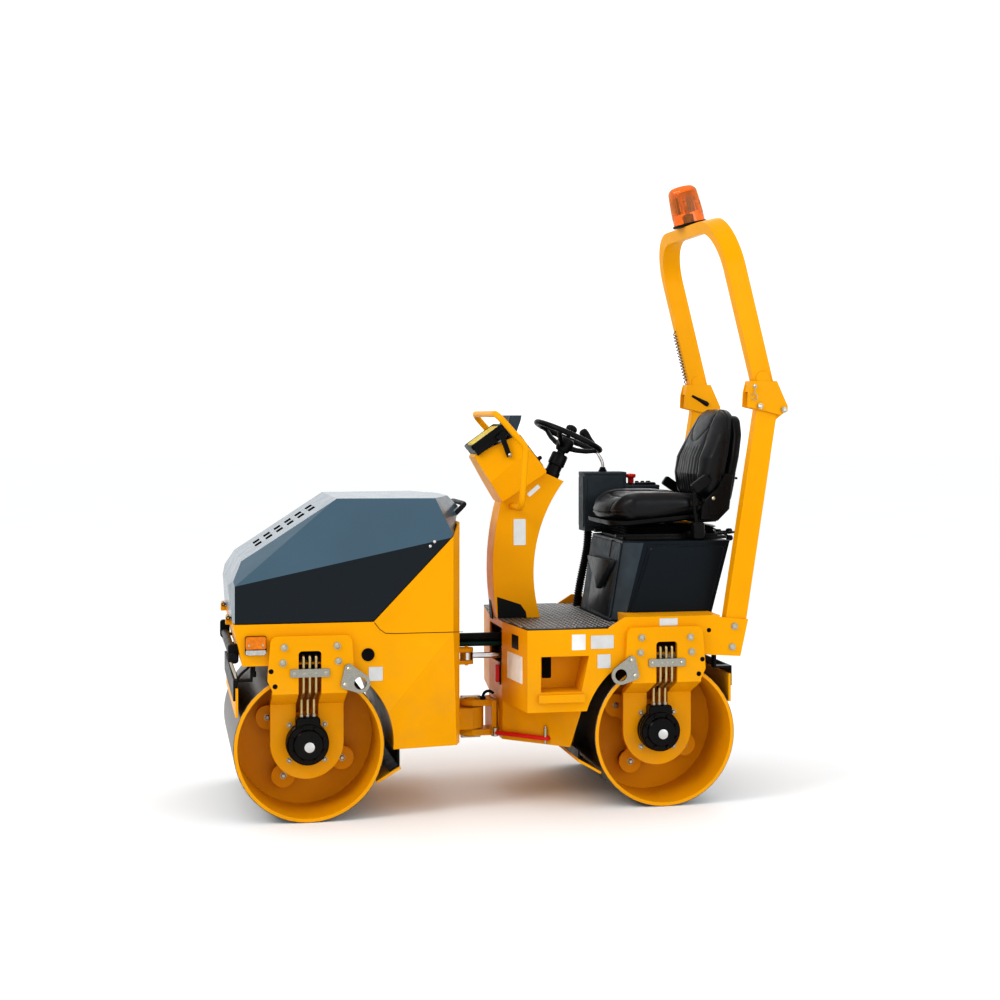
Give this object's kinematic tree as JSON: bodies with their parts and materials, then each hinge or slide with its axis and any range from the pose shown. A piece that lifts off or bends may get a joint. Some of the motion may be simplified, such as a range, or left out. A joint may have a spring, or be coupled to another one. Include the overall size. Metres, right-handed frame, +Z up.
{
  "type": "road roller",
  "caption": "Articulated ride-on tandem road roller: smooth drums on bent forks, faceted tilting hood, operator's seat and dash, folding roll bar with beacon.",
  "frame": {"origin": "on the ground under the middle of the overall length and width", "axes": "+X forward, +Y to the machine's left, +Z up"},
  "size_m": [2.246, 0.974, 2.5565],
  "materials": {
    "yellow": "semi-gloss",
    "slate": "satin",
    "black_paint": "satin",
    "drum_steel": "ground steel",
    "rubber": "matt",
    "zinc": "galvanised",
    "chrome": "polished",
    "black_plastic": "fine texture",
    "seat_vinyl": "grained",
    "amber": "clear tinted",
    "red": "gloss",
    "lamp_glass": "ribbed",
    "poly_yellow": "satin",
    "tread": "tread plate",
    "engine": "painted"
  },
  "bodies": {
    "rear_frame": {"rear_frame_body": "yellow", "floor_plate": "tread", "rear_forks": "yellow", "rear_motors": "black_paint", "rear_motor_pipes": "zinc", "rear_lifting_eyes": "zinc", "rear_scraper_carriers": "black_paint", "rear_scraper_blades": "poly_yellow", "dash_column": "yellow", "dash_pod": "yellow", "instrument_hood": "slate", "work_lamp": "black_plastic", "work_lamp_lens": "lamp_glass", "grab_rail": "yellow", "steering_column": "black_plastic", "seat_box": "slate", "seat_base": "black_paint", "seat_cushion": "seat_vinyl", "seat_back": "seat_vinyl", "seat_belt": "black_plastic", "control_console": "black_plastic", "drive_lever": "chrome", "emergency_stop": "red", "console_conduit": "black_plastic", "rops_posts": "yellow", "lock_bar": "red"},
    "rear_drum": {"rear_drum": "drum_steel", "rear_drum_carriers": "yellow", "rear_drum_buffers": "rubber"},
    "rops_hoop": {"rops_hoop": "yellow", "beacon_base": "black_plastic", "beacon_lens": "amber"},
    "steering_wheel": {"steering_wheel": "black_plastic"},
    "articulation_link": {"articulation_link": "yellow", "hose_bundle": "rubber"},
    "cylinder_barrel": {"cylinder_barrel": "black_paint"},
    "cylinder_rod": {"cylinder_rod": "chrome"},
    "front_frame": {"front_frame_body": "yellow", "engine_block": "engine", "front_forks": "yellow", "front_motors": "black_paint", "front_motor_pipes": "zinc", "front_lifting_eyes": "zinc", "front_scraper_carriers": "black_paint", "front_scraper_blades": "poly_yellow", "spray_bar": "black_plastic", "turn_lamps": "amber"},
    "front_drum": {"front_drum": "drum_steel", "front_drum_carriers": "yellow", "front_drum_buffers": "rubber"},
    "hood": {"hood_shell": "slate", "hood_handle": "black_plastic"}
  },
  "joints": [
    {"name": "oscillation", "type": "hinge", "parent": "rear_frame", "child": "articulation_link", "pos_m": [0.007, 0, 0.31], "axis": [1, 0, 0], "range_deg": [-8, 8]},
    {"name": "steer", "type": "hinge", "parent": "articulation_link", "child": "front_frame", "pos_m": [0.107, 0, 0.31], "axis": [0, 0, 1], "range_deg": [-30, 30], "deforming": ["hose_bundle"]},
    {"name": "front_drum_spin", "type": "hinge", "parent": "front_frame", "child": "front_drum", "pos_m": [0.817, 0, 0.29], "axis": [0, 1, 0], "continuous": true},
    {"name": "rear_drum_spin", "type": "hinge", "parent": "rear_frame", "child": "rear_drum", "pos_m": [-0.603, 0, 0.29], "axis": [0, 1, 0], "continuous": true},
    {"name": "hood_tilt", "type": "hinge", "parent": "front_frame", "child": "hood", "pos_m": [1.119, 0, 0.775], "axis": [0, 1, 0], "range_deg": [0, 60]},
    {"name": "rops_fold", "type": "hinge", "parent": "rear_frame", "child": "rops_hoop", "pos_m": [-1.102, 0, 1.588], "axis": [0, -1, 0], "range_deg": [0, 130]},
    {"name": "steering_wheel_turn", "type": "hinge", "parent": "rear_frame", "child": "steering_wheel", "pos_m": [-0.314, 0, 1.478], "axis": [-0.4147, 0, 0.91], "continuous": true},
    {"name": "cylinder_swing", "type": "hinge", "parent": "articulation_link", "child": "cylinder_barrel", "pos_m": [-0.188, 0.075, 0.573], "axis": [0, 0, 1], "range_deg": [-5, 5]},
    {"name": "rod_slide", "type": "slide", "parent": "cylinder_barrel", "child": "cylinder_rod", "axis": [1, 0, 0], "range_m": [-0.045, 0.045]}
  ],
  "couplings": [
    {"joint": "cylinder_swing", "follows": "steer", "ratio": 0.083},
    {"joint": "rod_slide", "follows": "steer", "m_per_rad": -0.0725}
  ]
}
